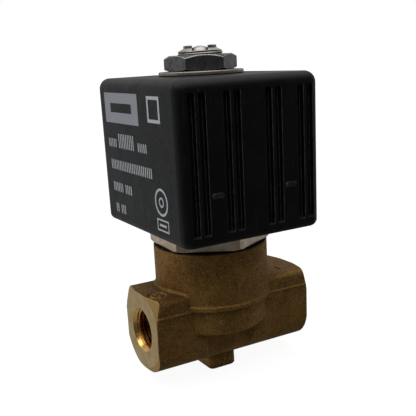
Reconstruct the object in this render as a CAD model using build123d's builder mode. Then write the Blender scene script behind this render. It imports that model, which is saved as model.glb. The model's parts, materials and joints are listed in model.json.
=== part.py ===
from build123d import *
import os
from math import radians, sqrt, tan

# Two-port brass solenoid valve, normally closed, with a moulded coil on its armature tube.
# Millimetres. +Z is up along the tube's axis, +X runs from the inlet to the outlet.
# The origin is the middle of the foot lug's underside.

# ---------------------------------------------------------------- driving dimensions

# Forged body
PORT_Z = 17.4  # height of the port axis above the foot
INLET_X = -25.4  # inlet end face
OUTLET_X = 29.3  # outlet end face
ARM_HALF_WIDTH = 11.0
ARM_TOP = PORT_Z + 11.5
ARM_BOTTOM = PORT_Z - 12.4
ARM_TOP_RADIUS = 2.0  # along the upper edges
ARM_BOTTOM_RADIUS = 7.3
ARM_DRAFT = 1.0  # degrees, below the seam
END_FACE_RADIUS = 11.85  # flat part of a turned end face
END_CONE_ANGLE = 21.5  # of the turned chamfer, from the end face
NECK_RADIUS = 17.85
NECK_TOP = PORT_Z + 24.15
SEAM_TOP = PORT_Z + 8.1  # forging seam that runs round the body
SEAM_BOTTOM = PORT_Z + 6.1
SEAM_PROUD = 0.35
SEAM_SLOPE = 0.5  # height of the seam ring's upper and lower slopes
NECK_EDGE_BREAK = 0.3
BOSS_RADIUS = 16.85
BOSS_BEVEL = 0.8
NECK_ROOT_RADIUS = 1.2
BOSS_BOTTOM = PORT_Z - 1.6
RECESS_HALF_WIDTH = 9.1
RECESS_DEPTH = 1.3
RECESS_SIDE_ANGLE = 55.0
LUG_WIDTH = 9.7
LUG_CORNER_RADIUS = 1.9
LUG_BEVEL = 0.5
MARK_DEPTH = 0.4  # of the marks struck in the tops of the arms
DASH_PLACE = (21.9, -5.0)
DASH_LENGTH = 3.8
DASH_WIDTH = 0.9
RING_PLACE = (-21.9, -4.4)
RING_RADIUS = 2.9
RING_DOTS = ((-22.5, -3.6), (-21.9, -5.8))
RING_DOT_RADIUS = 0.55

# G1/4 port thread
PORT_THREAD_RADIUS = 6.58
PORT_THREAD_DEPTH = 12.0
PORT_MOUTH_RADIUS = 6.85
PORT_MOUTH_DEPTH = 0.35
DRILL_ANGLE = 31.0  # slope of a drill point, from square

# Valve chamber and flow path
CHAMBER_RADIUS = 13.0
CHAMBER_FLOOR = PORT_Z + 9.0
SPIGOT_RADIUS = 14.0  # M28 thread in the neck
SPIGOT_BORE_BOTTOM = PORT_Z + 13.4
SEAT_RADIUS = 4.2
SEAT_TOP = PORT_Z + 11.0
ORIFICE_RADIUS = 2.5
PASSAGE_RADIUS = 3.0
INLET_PASSAGE_X = -9.0

# Tube base with its hexagon
HEX_ACROSS_FLATS = 32.5
HEX_ROTATION = 28.1
HEX_BOTTOM = PORT_Z + 24.6
HEX_TOP = PORT_Z + 29.8
HEX_LOWER_BEVEL_WIDTH = 0.9
HEX_LOWER_BEVEL_HEIGHT = 0.5
HEX_UPPER_BEVEL_HEIGHT = 0.9
HEX_FACE_RADIUS = HEX_ACROSS_FLATS / 2 - 0.3
SPIGOT_BOTTOM = PORT_Z + 14.6
BASE_BORE_RADIUS = 11.2
BASE_ROOF = PORT_Z + 26.6

# Armature tube, core and plunger
TUBE_RADIUS = 7.25
TUBE_WALL = 0.5
TUBE_TOP = PORT_Z + 71.2
CORE_BOTTOM = PORT_Z + 51.2
CORE_SHOULDER = PORT_Z + 75.15
STUD_RADIUS = 6.5
STUD_THREAD_TOP = PORT_Z + 83.2
STUD_LEAD_LENGTH = 0.8
STUD_TOP = PORT_Z + 84.0
STUD_LEAD_RADIUS = 4.95
STUD_SLOT_WIDTH = 4.7
STUD_SLOT_DEPTH = 1.5
STUD_SLOT_ROTATION = -29.4
DOME_RADIUS = 3.4
DOME_HEIGHT = 1.4
DOME_CURVE = 4.85
EDGE_BREAK = 0.4
PLUNGER_CLEARANCE = 0.07
PLUNGER_LIFT = 1.6
RESIDUAL_GAP = 0.05  # left under the pole face when the valve is open
SEAT_GAP = 0.05
PLUNGER_GROOVE_RADIUS = 0.8
DISC_RADIUS = 4.6
DISC_THICKNESS = 2.6
SHADING_OUTER = 5.4
SHADING_INNER = 4.3
SHADING_DEPTH = 1.6

# Return spring
SPRING_WIRE_RADIUS = 0.3
SPRING_COIL_RADIUS = 2.3
SPRING_TURNS = 8
SPRING_POCKET_RADIUS = 3.1
SPRING_TOP = PORT_Z + 53.2
SPRING_BOTTOM = PORT_Z + 38.2

# Coil moulding
COIL_WIDTH = 46.2
COIL_DEPTH = 55.4
COIL_BOTTOM = PORT_Z + 29.95
COIL_TOP = PORT_Z + 75.4
COIL_DRAFT = 0.45  # degrees, narrowing downwards
COIL_CORNER_RADIUS = 3.5
COIL_TOP_RADIUS = 3.3
COIL_BOTTOM_RADIUS = 2.2
COIL_BORE_RADIUS = 7.33
SLOT_WIDTH = 2.2
SLOT_PITCH = 3.25
SLOT_DEPTH = 1.9
SLOT_BOTTOM = PORT_Z + 33.2
SLOT_TOP = PORT_Z + 71.8
SLOT_END_RADIUS = 0.5
SLOT_PAIR_OFFSETS = (-17.5, -6.7, 6.7, 17.5)
PIP_LENGTH = 3.6
PIP_WIDTH = 1.5
PIP_HEIGHT = 0.3
PIP_Z = PORT_Z + 43.9
PIP_OFFSETS = (-12.1, 12.1)

# Winding, spool and magnetic frame
YOKE_LENGTH = 40.0
YOKE_WIDTH = 30.0
YOKE_BOTTOM = PORT_Z + 33.2
YOKE_TOP = PORT_Z + 72.2
YOKE_THICKNESS = 3.0
SPOOL_WALL = 1.2
SPOOL_FLANGE_RADIUS = 15.6
SPOOL_FLANGE_THICKNESS = 1.5
WINDING_RADIUS = 14.9

# Plug interface on the back of the coil
PLUG_Z = PORT_Z + 52.7
PLUG_PAD_WIDTH = 27.0
PLUG_PAD_HEIGHT = 2.5
PLUG_PAD_CORNER = 3.0
BLADE_CIRCLE_RADIUS = 9.0
BLADE_WIDTH = 6.3
BLADE_THICKNESS = 0.8
BLADE_PROUD = 9.5
BLADE_TIP = 1.2  # corners taken off the tip
BLADE_EMBEDDED = 6.5
INSERT_RADIUS = 2.5
INSERT_BORE_RADIUS = 1.5
INSERT_LENGTH = 7.0
LEAD_RADIUS = 0.35

# Seals, washer and nut
COIL_SEAL_SECTION = 0.9
COIL_SEAL_RECESS_RADIUS = 9.6
COIL_SEAL_RECESS_DEPTH = 1.9
GASKET_THICKNESS = HEX_BOTTOM - NECK_TOP
GASKET_RADIUS = 16.1
O_RING_SECTION = 0.9
WASHER_RADIUS = 12.8
WASHER_BOTTOM = COIL_TOP + 0.05
WASHER_THICKNESS = 1.2
WASHER_EDGE_RADIUS = 0.3
NUT_ACROSS_FLATS = 19.1
NUT_ROTATION = 37.5
NUT_HEIGHT = 4.65
NUT_BEVEL = 0.95
NUT_LOWER_BEVEL = 0.6
NUT_LEAD_IN = 0.7
NUT_FACE_RADIUS = NUT_ACROSS_FLATS / 2 - 0.2

# ---------------------------------------------------------------- worked-out values

BACK_Y = COIL_DEPTH / 2
PLUG_FACE_Y = BACK_Y + PLUG_PAD_HEIGHT
WASHER_TOP = WASHER_BOTTOM + WASHER_THICKNESS
NUT_TOP = WASHER_TOP + NUT_HEIGHT
PLUNGER_RADIUS = TUBE_RADIUS - TUBE_WALL - PLUNGER_CLEARANCE
PLUNGER_BOTTOM = SEAT_TOP + SEAT_GAP
PLUNGER_TOP = CORE_BOTTOM - PLUNGER_LIFT - RESIDUAL_GAP
SPOOL_BOTTOM = YOKE_BOTTOM + YOKE_THICKNESS
SPOOL_TOP = YOKE_TOP - YOKE_THICKNESS
ORIFICE_BOTTOM = PORT_Z - PASSAGE_RADIUS

os.makedirs("parts", exist_ok=True)


def finish(piece, name):
    """Labels a finished piece and writes it under its name."""
    piece.part.label = name
    export_step(piece.part, f"parts/{name}.step")


# ---------------------------------------------------------------- valve body

# A port as a solid to cut away: chamfered mouth, thread, drill point. Its mouth is at the origin.
with BuildPart() as port_cutter:
    with BuildSketch(Plane.XZ):
        with BuildLine():
            Polyline(
                (0, 0),
                (PORT_MOUTH_RADIUS, 0),
                (PORT_THREAD_RADIUS, -PORT_MOUTH_DEPTH),
                (PORT_THREAD_RADIUS, -PORT_THREAD_DEPTH),
                (0, -PORT_THREAD_DEPTH - PORT_THREAD_RADIUS * tan(radians(DRILL_ANGLE))),
                close=True,
            )
        make_face()
    revolve(axis=Axis.Z)

inlet_plane = Plane((INLET_X, 0, PORT_Z), z_dir=(-1, 0, 0))
outlet_plane = Plane((OUTLET_X, 0, PORT_Z), z_dir=(1, 0, 0))

with BuildPart() as valve_body:
    # The two arms: one bar, narrowing a little below the seam, well rounded underneath
    with BuildSketch(Plane.YZ.offset(INLET_X)) as arm_section:
        with BuildLine():
            bottom_half = ARM_HALF_WIDTH - (SEAM_BOTTOM - ARM_BOTTOM) * tan(radians(ARM_DRAFT))
            Polyline(
                (-bottom_half, ARM_BOTTOM),
                (bottom_half, ARM_BOTTOM),
                (ARM_HALF_WIDTH, SEAM_BOTTOM),
                (ARM_HALF_WIDTH, ARM_TOP),
                (-ARM_HALF_WIDTH, ARM_TOP),
                (-ARM_HALF_WIDTH, SEAM_BOTTOM),
                close=True,
            )
        make_face()
        fillet(arm_section.vertices().group_by(Axis.Y)[-1], radius=ARM_TOP_RADIUS)
        fillet(arm_section.vertices().group_by(Axis.Y)[0], radius=ARM_BOTTOM_RADIUS)
    extrude(amount=OUTLET_X - INLET_X)
    # The seam stands a little proud along the arms
    with BuildSketch(Plane.XY.offset(SEAM_BOTTOM)):
        with Locations(((INLET_X + OUTLET_X) / 2, 0)):
            Rectangle(OUTLET_X - INLET_X, 2 * (ARM_HALF_WIDTH + SEAM_PROUD))
    extrude(amount=(SEAM_TOP - SEAM_BOTTOM) / 3, taper=30)
    # Both ends are turned: a flat face, then a cone that cuts the bar's corners
    with BuildSketch(Plane.XZ):
        with BuildLine():
            reach = 2 * ARM_HALF_WIDTH
            cone_length = (reach - END_FACE_RADIUS) * tan(radians(END_CONE_ANGLE))
            Polyline(
                (INLET_X, PORT_Z),
                (INLET_X, PORT_Z + END_FACE_RADIUS),
                (INLET_X + cone_length, PORT_Z + reach),
                (OUTLET_X - cone_length, PORT_Z + reach),
                (OUTLET_X, PORT_Z + END_FACE_RADIUS),
                (OUTLET_X, PORT_Z),
                close=True,
            )
        make_face()
    revolve(axis=Axis((0, 0, PORT_Z), (1, 0, 0)), mode=Mode.INTERSECT)
    # Shallow recess in both long sides, from the round boss down to the underside
    with BuildSketch(Plane.XY.offset(ARM_BOTTOM)):
        for side, turn in ((-1, 0), (1, 180)):
            with Locations((0, side * ARM_HALF_WIDTH)):
                mouth_width = 2 * RECESS_HALF_WIDTH + 2 * RECESS_DEPTH / tan(radians(RECESS_SIDE_ANGLE))
                Trapezoid(mouth_width, 2 * RECESS_DEPTH, RECESS_SIDE_ANGLE, rotation=turn)
    extrude(amount=BOSS_BOTTOM - ARM_BOTTOM, mode=Mode.SUBTRACT)
    # Round boss, seam ring and neck
    with BuildSketch(Plane.XZ):
        with BuildLine():
            Polyline(
                (0, BOSS_BOTTOM),
                (BOSS_RADIUS - BOSS_BEVEL, BOSS_BOTTOM),
                (BOSS_RADIUS, BOSS_BOTTOM + BOSS_BEVEL),
                (BOSS_RADIUS, SEAM_BOTTOM),
                (NECK_RADIUS + SEAM_PROUD, SEAM_BOTTOM + SEAM_SLOPE),
                (NECK_RADIUS + SEAM_PROUD, SEAM_TOP - SEAM_SLOPE),
                (NECK_RADIUS, SEAM_TOP),
                (NECK_RADIUS, NECK_TOP - NECK_EDGE_BREAK),
                (NECK_RADIUS - NECK_EDGE_BREAK, NECK_TOP),
                (0, NECK_TOP),
                close=True,
            )
        make_face()
    revolve(axis=Axis.Z)
    # Foot lug
    with BuildSketch():
        RectangleRounded(LUG_WIDTH, LUG_WIDTH, LUG_CORNER_RADIUS)
    extrude(amount=ARM_BOTTOM + 1)
    # Fillet where the neck meets the top of the arms
    neck_roots = (
        valve_body.edges()
        .filter_by(GeomType.CIRCLE)
        .filter_by(lambda edge: abs(edge.center(CenterOf.BOUNDING_BOX).Z - ARM_TOP) < 0.01)
        .filter_by(lambda edge: abs(edge.radius - NECK_RADIUS) < 0.01)
    )
    fillet(neck_roots, radius=NECK_ROOT_RADIUS)
    chamfer(valve_body.faces().sort_by(Axis.Z)[0].edges(), length=LUG_BEVEL)
    # Marks struck in the tops of the arms: a dash, and a ring round two dots
    with BuildSketch(Plane.XY.offset(ARM_TOP)):
        with Locations(DASH_PLACE):
            SlotOverall(DASH_LENGTH, DASH_WIDTH, rotation=90)
        with Locations(RING_PLACE):
            Circle(RING_RADIUS)
            Circle(RING_RADIUS - DASH_WIDTH, mode=Mode.SUBTRACT)
        with Locations(*RING_DOTS):
            Circle(RING_DOT_RADIUS)
    extrude(amount=-MARK_DEPTH, mode=Mode.SUBTRACT)
    # Ports
    add(inlet_plane * port_cutter.part, mode=Mode.SUBTRACT)
    add(outlet_plane * port_cutter.part, mode=Mode.SUBTRACT)
    # Screwed bore in the neck, and the chamber under it
    with BuildSketch(Plane.XY.offset(SPIGOT_BORE_BOTTOM)):
        Circle(SPIGOT_RADIUS)
    extrude(amount=NECK_TOP - SPIGOT_BORE_BOTTOM, mode=Mode.SUBTRACT)
    with BuildSketch(Plane.XY.offset(CHAMBER_FLOOR)):
        Circle(CHAMBER_RADIUS)
        Circle(SEAT_RADIUS, mode=Mode.SUBTRACT)
    extrude(amount=SPIGOT_BORE_BOTTOM - CHAMBER_FLOOR, mode=Mode.SUBTRACT)
    with BuildSketch(Plane.XY.offset(SEAT_TOP)):
        Circle(SEAT_RADIUS + 0.01)
    extrude(amount=SPIGOT_BORE_BOTTOM - SEAT_TOP, mode=Mode.SUBTRACT)
    # Orifice down through the seat, then across to the outlet
    with BuildSketch(Plane.XY.offset(ORIFICE_BOTTOM)):
        Circle(ORIFICE_RADIUS)
    extrude(amount=SEAT_TOP - ORIFICE_BOTTOM, mode=Mode.SUBTRACT)
    with BuildSketch(Plane.YZ):
        with Locations((0, PORT_Z)):
            Circle(PASSAGE_RADIUS)
    extrude(amount=OUTLET_X - PORT_THREAD_DEPTH, mode=Mode.SUBTRACT)
    # The inlet drilling meets the floor of the chamber
    with BuildSketch(Plane.YZ.offset(INLET_X + PORT_THREAD_DEPTH)):
        with Locations((0, PORT_Z)):
            Circle(PASSAGE_RADIUS)
    extrude(amount=INLET_PASSAGE_X - INLET_X - PORT_THREAD_DEPTH, mode=Mode.SUBTRACT)
    with BuildSketch(Plane.XY.offset(PORT_Z)):
        with Locations((INLET_PASSAGE_X, 0)):
            Circle(PASSAGE_RADIUS)
    extrude(amount=CHAMBER_FLOOR - PORT_Z, mode=Mode.SUBTRACT)
finish(valve_body, "valve_body")

# ---------------------------------------------------------------- tube base, seals and tube

with BuildPart() as tube_base:
    with BuildSketch(Plane.XY.offset(HEX_BOTTOM)):
        RegularPolygon(HEX_ACROSS_FLATS / 2, 6, major_radius=False, rotation=HEX_ROTATION)
    extrude(amount=HEX_TOP - HEX_BOTTOM)
    # Turned chamfer on the hexagon's corners, top and bottom
    hex_corner = HEX_ACROSS_FLATS / sqrt(3)
    with BuildSketch(Plane.XZ):
        with BuildLine():
            Polyline(
                (0, HEX_BOTTOM),
                (hex_corner - HEX_LOWER_BEVEL_WIDTH, HEX_BOTTOM),
                (hex_corner, HEX_BOTTOM + HEX_LOWER_BEVEL_HEIGHT),
                (hex_corner, HEX_TOP - HEX_UPPER_BEVEL_HEIGHT),
                (HEX_FACE_RADIUS, HEX_TOP),
                (0, HEX_TOP),
                close=True,
            )
        make_face()
    revolve(axis=Axis.Z, mode=Mode.INTERSECT)
    # Screwed spigot, with a groove for its O-ring under the hexagon
    with BuildSketch(Plane.XZ):
        with BuildLine():
            Polyline(
                (0, SPIGOT_BOTTOM),
                (SPIGOT_RADIUS - 1, SPIGOT_BOTTOM),
                (SPIGOT_RADIUS, SPIGOT_BOTTOM + 1),
                (SPIGOT_RADIUS, NECK_TOP - 2 * O_RING_SECTION - 1),
                (SPIGOT_RADIUS - 2 * O_RING_SECTION, NECK_TOP - 2 * O_RING_SECTION - 1),
                (SPIGOT_RADIUS - 2 * O_RING_SECTION, NECK_TOP - 1),
                (SPIGOT_RADIUS, NECK_TOP - 1),
                (SPIGOT_RADIUS, HEX_BOTTOM),
                (0, HEX_BOTTOM),
                close=True,
            )
        make_face()
    revolve(axis=Axis.Z)
    with BuildSketch(Plane.XY.offset(SPIGOT_BOTTOM)):
        Circle(BASE_BORE_RADIUS)
    extrude(amount=BASE_ROOF - SPIGOT_BOTTOM, mode=Mode.SUBTRACT)
    with BuildSketch(Plane.XY.offset(BASE_ROOF)):
        Circle(TUBE_RADIUS)
    extrude(amount=HEX_TOP - BASE_ROOF, mode=Mode.SUBTRACT)
finish(tube_base, "tube_base")

with BuildPart() as flange_gasket:
    with BuildSketch(Plane.XY.offset(NECK_TOP)):
        Circle(GASKET_RADIUS)
        Circle(SPIGOT_RADIUS, mode=Mode.SUBTRACT)
    extrude(amount=GASKET_THICKNESS)
finish(flange_gasket, "flange_gasket")

with BuildPart() as spigot_o_ring:
    with BuildSketch(Plane.XZ):
        with Locations((SPIGOT_RADIUS - O_RING_SECTION, NECK_TOP - 1 - O_RING_SECTION)):
            Circle(O_RING_SECTION)
    revolve(axis=Axis.Z)
finish(spigot_o_ring, "spigot_o_ring")

with BuildPart() as guide_tube:
    with BuildSketch(Plane.XY.offset(BASE_ROOF)):
        Circle(TUBE_RADIUS)
        Circle(TUBE_RADIUS - TUBE_WALL, mode=Mode.SUBTRACT)
    extrude(amount=TUBE_TOP - BASE_ROOF)
finish(guide_tube, "guide_tube")

# ---------------------------------------------------------------- core, plunger and spring

with BuildPart() as fixed_core:
    with BuildSketch(Plane.XZ):
        with BuildLine():
            Polyline(
                (0, CORE_BOTTOM),
                (TUBE_RADIUS - TUBE_WALL, CORE_BOTTOM),
                (TUBE_RADIUS - TUBE_WALL, TUBE_TOP),
                (TUBE_RADIUS, TUBE_TOP),
                (TUBE_RADIUS, CORE_SHOULDER - EDGE_BREAK),
                (TUBE_RADIUS - EDGE_BREAK, CORE_SHOULDER),
                (STUD_RADIUS, CORE_SHOULDER),
                (STUD_RADIUS, STUD_THREAD_TOP - STUD_LEAD_LENGTH),
                (STUD_LEAD_RADIUS, STUD_THREAD_TOP),
                (STUD_LEAD_RADIUS, STUD_TOP - 0.2),
                (STUD_LEAD_RADIUS - 0.2, STUD_TOP),
                (0, STUD_TOP),
                close=True,
            )
        make_face()
    revolve(axis=Axis.Z)
    # Screwdriver slot with a small turned dome in its floor
    with BuildSketch(Plane.XY.offset(STUD_TOP - STUD_SLOT_DEPTH)):
        Rectangle(STUD_SLOT_WIDTH, 4 * STUD_LEAD_RADIUS, rotation=STUD_SLOT_ROTATION)
    extrude(amount=STUD_SLOT_DEPTH, mode=Mode.SUBTRACT)
    with BuildSketch(Plane.XZ):
        with BuildLine():
            dome_base = STUD_TOP - STUD_SLOT_DEPTH
            dome_top = dome_base + DOME_HEIGHT
            Polyline((DOME_RADIUS, dome_base), (0, dome_base), (0, dome_top))
            RadiusArc((0, dome_top), (DOME_RADIUS, dome_base), DOME_CURVE)
        make_face()
    revolve(axis=Axis.Z)
    # Pole face: groove for the shading ring and pocket for the spring
    with BuildSketch(Plane.XY.offset(CORE_BOTTOM)):
        Circle(SHADING_OUTER)
        Circle(SHADING_INNER, mode=Mode.SUBTRACT)
    extrude(amount=SHADING_DEPTH, mode=Mode.SUBTRACT)
    with BuildSketch(Plane.XY.offset(CORE_BOTTOM)):
        Circle(SPRING_POCKET_RADIUS)
    extrude(amount=SPRING_TOP - CORE_BOTTOM, mode=Mode.SUBTRACT)
finish(fixed_core, "fixed_core")

with BuildPart() as shading_ring:
    with BuildSketch(Plane.XY.offset(CORE_BOTTOM)):
        Circle(SHADING_OUTER)
        Circle(SHADING_INNER, mode=Mode.SUBTRACT)
    extrude(amount=SHADING_DEPTH)
finish(shading_ring, "shading_ring")

with BuildPart() as plunger:
    with BuildSketch(Plane.XY.offset(PLUNGER_BOTTOM)):
        Circle(PLUNGER_RADIUS)
    extrude(amount=PLUNGER_TOP - PLUNGER_BOTTOM)
    chamfer(plunger.edges().filter_by(GeomType.CIRCLE), length=EDGE_BREAK)
    with BuildSketch(Plane.XY.offset(PLUNGER_BOTTOM)):
        Circle(DISC_RADIUS)
    extrude(amount=DISC_THICKNESS, mode=Mode.SUBTRACT)
    with BuildSketch(Plane.XY.offset(SPRING_BOTTOM)):
        Circle(SPRING_POCKET_RADIUS)
    extrude(amount=PLUNGER_TOP - SPRING_BOTTOM, mode=Mode.SUBTRACT)
    # Two grooves down the sides let the fluid past
    with BuildSketch(Plane.XY.offset(PLUNGER_BOTTOM)):
        with Locations((-PLUNGER_RADIUS, 0), (PLUNGER_RADIUS, 0)):
            Circle(PLUNGER_GROOVE_RADIUS)
    extrude(amount=PLUNGER_TOP - PLUNGER_BOTTOM, mode=Mode.SUBTRACT)
finish(plunger, "plunger")

with BuildPart() as seal_disc:
    with BuildSketch(Plane.XY.offset(PLUNGER_BOTTOM)):
        Circle(DISC_RADIUS)
    extrude(amount=DISC_THICKNESS)
finish(seal_disc, "seal_disc")

spring_height = SPRING_TOP - SPRING_BOTTOM - 2 * SPRING_WIRE_RADIUS
with BuildPart() as plunger_spring:
    with BuildLine(Plane.XY.offset(SPRING_BOTTOM + SPRING_WIRE_RADIUS)) as spring_path:
        Helix(spring_height / SPRING_TURNS, spring_height, SPRING_COIL_RADIUS)
    with BuildSketch(Plane(spring_path.line @ 0, z_dir=spring_path.line % 0)):
        Circle(SPRING_WIRE_RADIUS)
    sweep(path=spring_path.line, is_frenet=True)
finish(plunger_spring, "plunger_spring")

# ---------------------------------------------------------------- inside the coil

with BuildPart() as yoke_frame:
    yoke_middle = (YOKE_TOP + YOKE_BOTTOM) / 2
    yoke_height = YOKE_TOP - YOKE_BOTTOM
    with BuildSketch(Plane.XZ):
        with Locations((0, yoke_middle)):
            RectangleRounded(YOKE_LENGTH, yoke_height, YOKE_THICKNESS)
            Rectangle(
                YOKE_LENGTH - 2 * YOKE_THICKNESS,
                yoke_height - 2 * YOKE_THICKNESS,
                mode=Mode.SUBTRACT,
            )
    extrude(amount=YOKE_WIDTH / 2, both=True)
    with BuildSketch(Plane.XY.offset(YOKE_BOTTOM)):
        Circle(COIL_BORE_RADIUS)
    extrude(amount=yoke_height, mode=Mode.SUBTRACT)
finish(yoke_frame, "yoke_frame")

with BuildPart() as coil_bobbin:
    with BuildSketch(Plane.XY.offset(SPOOL_BOTTOM)):
        Circle(COIL_BORE_RADIUS + SPOOL_WALL)
    extrude(amount=SPOOL_TOP - SPOOL_BOTTOM)
    for flange_z in (SPOOL_BOTTOM, SPOOL_TOP - SPOOL_FLANGE_THICKNESS):
        with BuildSketch(Plane.XY.offset(flange_z)):
            Circle(SPOOL_FLANGE_RADIUS)
        extrude(amount=SPOOL_FLANGE_THICKNESS)
    with BuildSketch(Plane.XY.offset(SPOOL_BOTTOM)):
        Circle(COIL_BORE_RADIUS)
    extrude(amount=SPOOL_TOP - SPOOL_BOTTOM, mode=Mode.SUBTRACT)
finish(coil_bobbin, "coil_bobbin")

with BuildPart() as coil_winding:
    with BuildSketch(Plane.XY.offset(SPOOL_BOTTOM + SPOOL_FLANGE_THICKNESS)):
        Circle(WINDING_RADIUS)
        Circle(COIL_BORE_RADIUS + SPOOL_WALL, mode=Mode.SUBTRACT)
    extrude(amount=SPOOL_TOP - SPOOL_BOTTOM - 2 * SPOOL_FLANGE_THICKNESS)
finish(coil_winding, "coil_winding")

blade_start_y = BACK_Y - BLADE_EMBEDDED
blade_length = BLADE_EMBEDDED + PLUG_PAD_HEIGHT + BLADE_PROUD


# A flat blade along +Y with its root at the origin and a tapered tip
with BuildSketch() as blade_profile:
    with BuildLine():
        Polyline(
            (-BLADE_WIDTH / 2, 0),
            (BLADE_WIDTH / 2, 0),
            (BLADE_WIDTH / 2, blade_length - BLADE_TIP),
            (BLADE_WIDTH / 2 - BLADE_TIP, blade_length),
            (-BLADE_WIDTH / 2 + BLADE_TIP, blade_length),
            (-BLADE_WIDTH / 2, blade_length - BLADE_TIP),
            close=True,
        )
    make_face()

with BuildPart() as power_blades:
    for side in (-1, 1):
        blade_root = (side * BLADE_CIRCLE_RADIUS, blade_start_y, PLUG_Z)
        with BuildSketch(Plane(blade_root, x_dir=(0, 0, -1), z_dir=(1, 0, 0))):
            add(blade_profile.sketch)
        extrude(amount=BLADE_THICKNESS / 2, both=True)
finish(power_blades, "power_blades")

with BuildPart() as earth_blade:
    with BuildSketch(Plane((0, blade_start_y, PLUG_Z - BLADE_CIRCLE_RADIUS), z_dir=(0, 0, 1))):
        add(blade_profile.sketch)
    extrude(amount=BLADE_THICKNESS / 2, both=True)
finish(earth_blade, "earth_blade")

with BuildPart() as plug_screw_insert:
    with BuildSketch(Plane((0, PLUG_FACE_Y, PLUG_Z), z_dir=(0, 1, 0))):
        Circle(INSERT_RADIUS)
        Circle(INSERT_BORE_RADIUS, mode=Mode.SUBTRACT)
    extrude(amount=-INSERT_LENGTH)
finish(plug_screw_insert, "plug_screw_insert")

# Each lead runs straight back from the winding to the root of its blade
lead_start_y = sqrt(WINDING_RADIUS**2 - BLADE_CIRCLE_RADIUS**2) - 0.2
with BuildPart() as winding_leads:
    for side in (-1, 1):
        lead_start = (side * BLADE_CIRCLE_RADIUS, lead_start_y, PLUG_Z)
        with BuildSketch(Plane(lead_start, z_dir=(0, 1, 0))):
            Circle(LEAD_RADIUS)
        extrude(amount=blade_start_y - lead_start_y)
    add(coil_winding.part, mode=Mode.SUBTRACT)
finish(winding_leads, "winding_leads")

# ---------------------------------------------------------------- coil moulding and its seals

with BuildPart() as coil_housing:
    with BuildSketch(Plane.XY.offset(COIL_TOP)):
        RectangleRounded(COIL_WIDTH, COIL_DEPTH, COIL_CORNER_RADIUS)
    extrude(amount=COIL_BOTTOM - COIL_TOP, taper=COIL_DRAFT)
    fillet(coil_housing.faces().sort_by(Axis.Z)[-1].edges(), radius=COIL_TOP_RADIUS)
    fillet(coil_housing.faces().sort_by(Axis.Z)[0].edges(), radius=COIL_BOTTOM_RADIUS)
    # Pairs of grooves down the front
    with BuildSketch(Plane.XZ.offset(BACK_Y - SLOT_DEPTH)):
        for offset in SLOT_PAIR_OFFSETS:
            for side in (-1, 1):
                slot_x = offset + side * SLOT_PITCH / 2
                with Locations((slot_x, (SLOT_TOP + SLOT_BOTTOM) / 2)):
                    RectangleRounded(SLOT_WIDTH, SLOT_TOP - SLOT_BOTTOM, SLOT_END_RADIUS)
    extrude(amount=SLOT_DEPTH + 1, mode=Mode.SUBTRACT)
    # Two small moulded pips between the grooves
    with BuildSketch(Plane.XZ.offset(BACK_Y - 1)):
        for offset in PIP_OFFSETS:
            with Locations((offset, PIP_Z)):
                SlotOverall(PIP_LENGTH, PIP_WIDTH)
    extrude(amount=1 - (COIL_TOP - PIP_Z) * tan(radians(COIL_DRAFT)) + PIP_HEIGHT)
    # Raised pad for the plug on the back
    with BuildSketch(Plane((0, BACK_Y - 1, PLUG_Z), z_dir=(0, 1, 0))):
        RectangleRounded(PLUG_PAD_WIDTH, PLUG_PAD_WIDTH, PLUG_PAD_CORNER)
    extrude(amount=PLUG_PAD_HEIGHT + 1)
    # Bore for the armature tube, with a seal recess at each end
    with BuildSketch(Plane.XY.offset(COIL_BOTTOM)):
        Circle(COIL_BORE_RADIUS)
    extrude(amount=COIL_TOP - COIL_BOTTOM, mode=Mode.SUBTRACT)
    with BuildSketch(Plane.XY.offset(COIL_BOTTOM)):
        Circle(COIL_SEAL_RECESS_RADIUS)
    extrude(amount=COIL_SEAL_RECESS_DEPTH, mode=Mode.SUBTRACT)
    with BuildSketch(Plane.XY.offset(COIL_TOP - COIL_SEAL_RECESS_DEPTH)):
        Circle(COIL_SEAL_RECESS_RADIUS)
    extrude(amount=COIL_SEAL_RECESS_DEPTH, mode=Mode.SUBTRACT)
    # The plastic is moulded round everything inside
    for moulded_in in (
        yoke_frame,
        coil_bobbin,
        coil_winding,
        winding_leads,
        power_blades,
        earth_blade,
        plug_screw_insert,
    ):
        add(moulded_in.part, mode=Mode.SUBTRACT)
    with BuildSketch(Plane((0, PLUG_FACE_Y, PLUG_Z), z_dir=(0, 1, 0))):
        Circle(INSERT_BORE_RADIUS)
    extrude(amount=-INSERT_LENGTH, mode=Mode.SUBTRACT)
finish(coil_housing, "coil_housing")

seal_ring_radius = COIL_BORE_RADIUS + COIL_SEAL_SECTION
for seal_name, seal_z in (
    ("coil_lower_seal", COIL_BOTTOM + COIL_SEAL_SECTION + 0.05),
    ("coil_upper_seal", COIL_TOP - COIL_SEAL_SECTION - 0.05),
):
    with BuildPart() as coil_seal:
        with BuildSketch(Plane.XZ):
            with Locations((seal_ring_radius, seal_z)):
                Circle(COIL_SEAL_SECTION)
        revolve(axis=Axis.Z)
    finish(coil_seal, seal_name)

# ---------------------------------------------------------------- washer and nut

with BuildPart() as coil_washer:
    with BuildSketch(Plane.XY.offset(WASHER_BOTTOM)):
        Circle(WASHER_RADIUS)
        Circle(STUD_RADIUS, mode=Mode.SUBTRACT)
    extrude(amount=WASHER_THICKNESS)
    rim = coil_washer.edges().filter_by(GeomType.CIRCLE).group_by(SortBy.RADIUS)[-1]
    fillet(rim, radius=WASHER_EDGE_RADIUS)
finish(coil_washer, "coil_washer")

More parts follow.
